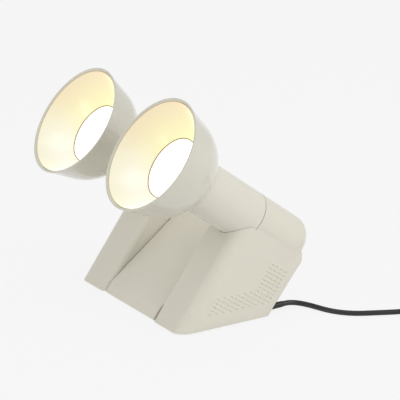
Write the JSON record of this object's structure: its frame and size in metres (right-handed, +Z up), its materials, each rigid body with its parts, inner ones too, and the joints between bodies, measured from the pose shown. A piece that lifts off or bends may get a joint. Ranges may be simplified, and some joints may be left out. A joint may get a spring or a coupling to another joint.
{
  "type": "table lamp",
  "caption": "Twin-spot table lamp: leaning wedge body, turning tube arms with swivelling glossy bowls, mains cord with in-line switch and plug.",
  "frame": {"origin": "middle of the foot pad's underside, on the table", "axes": "+Z up, the bowls face -Y and up, the cord leaves towards +Y, +X is the right bowl"},
  "size_m": [0.3661, 0.4779, 0.2312],
  "materials": {
    "ivory_plastic": "gloss",
    "ivory_gloss": "gloss",
    "ivory_satin": "satin",
    "black_rubber": "satin",
    "black_plastic": "satin",
    "bright_steel": "satin",
    "core_iron": "satin",
    "wound_copper": "satin",
    "white_nylon": "satin",
    "warm_liner": "gloss",
    "lit_glass": "gloss",
    "white_ceramic": "matte"
  },
  "bodies": {
    "base": {"right_side_shell": "ivory_plastic", "left_side_shell": "ivory_plastic", "middle_shell": "ivory_plastic", "rear_cover": "ivory_plastic", "right_side_tray": "ivory_satin", "left_side_tray": "ivory_satin", "middle_tray": "bright_steel", "foot_pad": "black_rubber", "transformer_strap": "bright_steel", "transformer_core": "core_iron", "transformer_winding": "wound_copper", "terminal_block": "white_nylon", "right_lead": "black_rubber", "left_lead": "black_rubber", "mains_lead": "black_rubber", "rear_cover_screw_1": "bright_steel", "tray_screw_1": "bright_steel", "rear_cover_screw_2": "bright_steel", "tray_screw_2": "bright_steel", "rear_cover_screw_3": "bright_steel", "tray_screw_3": "bright_steel", "rear_cover_screw_4": "bright_steel", "tray_screw_4": "bright_steel", "right_sleeve_bush": "white_nylon", "right_plug_pin": "bright_steel", "left_sleeve_bush": "white_nylon", "left_plug_pin": "bright_steel", "strain_relief": "black_rubber", "cord_run": "black_rubber", "cord_link": "black_rubber", "cord_coil": "black_rubber", "cord_tail": "black_rubber", "switch_base": "black_plastic", "switch_cover": "black_plastic", "plug_body": "black_plastic"},
    "right_arm": {"right_arm_tube": "ivory_gloss", "right_tube_retainer": "bright_steel", "right_neck_collar": "ivory_gloss", "right_swivel_sleeve": "bright_steel", "right_clamp_ring": "bright_steel"},
    "left_arm": {"left_arm_tube": "ivory_gloss", "left_tube_retainer": "bright_steel", "left_neck_collar": "ivory_gloss", "left_swivel_sleeve": "bright_steel", "left_clamp_ring": "bright_steel"},
    "right_head": {"right_bowl": "ivory_gloss", "right_reflector": "warm_liner", "right_reflector_lamp": "lit_glass", "right_lamp_holder": "white_ceramic", "right_swivel_plate": "bright_steel"},
    "left_head": {"left_bowl": "ivory_gloss", "left_reflector": "warm_liner", "left_reflector_lamp": "lit_glass", "left_lamp_holder": "white_ceramic", "left_swivel_plate": "bright_steel"},
    "switch_rocker": {"switch_rocker": "black_plastic"}
  },
  "joints": [
    {"name": "right_arm_turn", "type": "hinge", "parent": "base", "child": "right_arm", "pos_m": [0.075, 0.04033, 0.10242], "axis": [0, -0.809, 0.5878], "range_deg": [-90, 90]},
    {"name": "right_head_swivel", "type": "hinge", "parent": "right_arm", "child": "right_head", "pos_m": [0.075, -0.05748, 0.17349], "axis": [0, -0.866, 0.5], "range_deg": [-175, 175]},
    {"name": "left_arm_turn", "type": "hinge", "parent": "base", "child": "left_arm", "pos_m": [-0.075, 0.04033, 0.10242], "axis": [0, -0.809, 0.5878], "range_deg": [-90, 90]},
    {"name": "left_head_swivel", "type": "hinge", "parent": "left_arm", "child": "left_head", "pos_m": [-0.075, -0.05748, 0.17349], "axis": [0, -0.866, 0.5], "range_deg": [-175, 175]},
    {"name": "switch_rocker_tip", "type": "hinge", "parent": "base", "child": "switch_rocker", "pos_m": [0.18912, 0.22879, 0.017], "axis": [-0.9165, 0.4, 0], "range_deg": [-12, 0]}
  ]
}
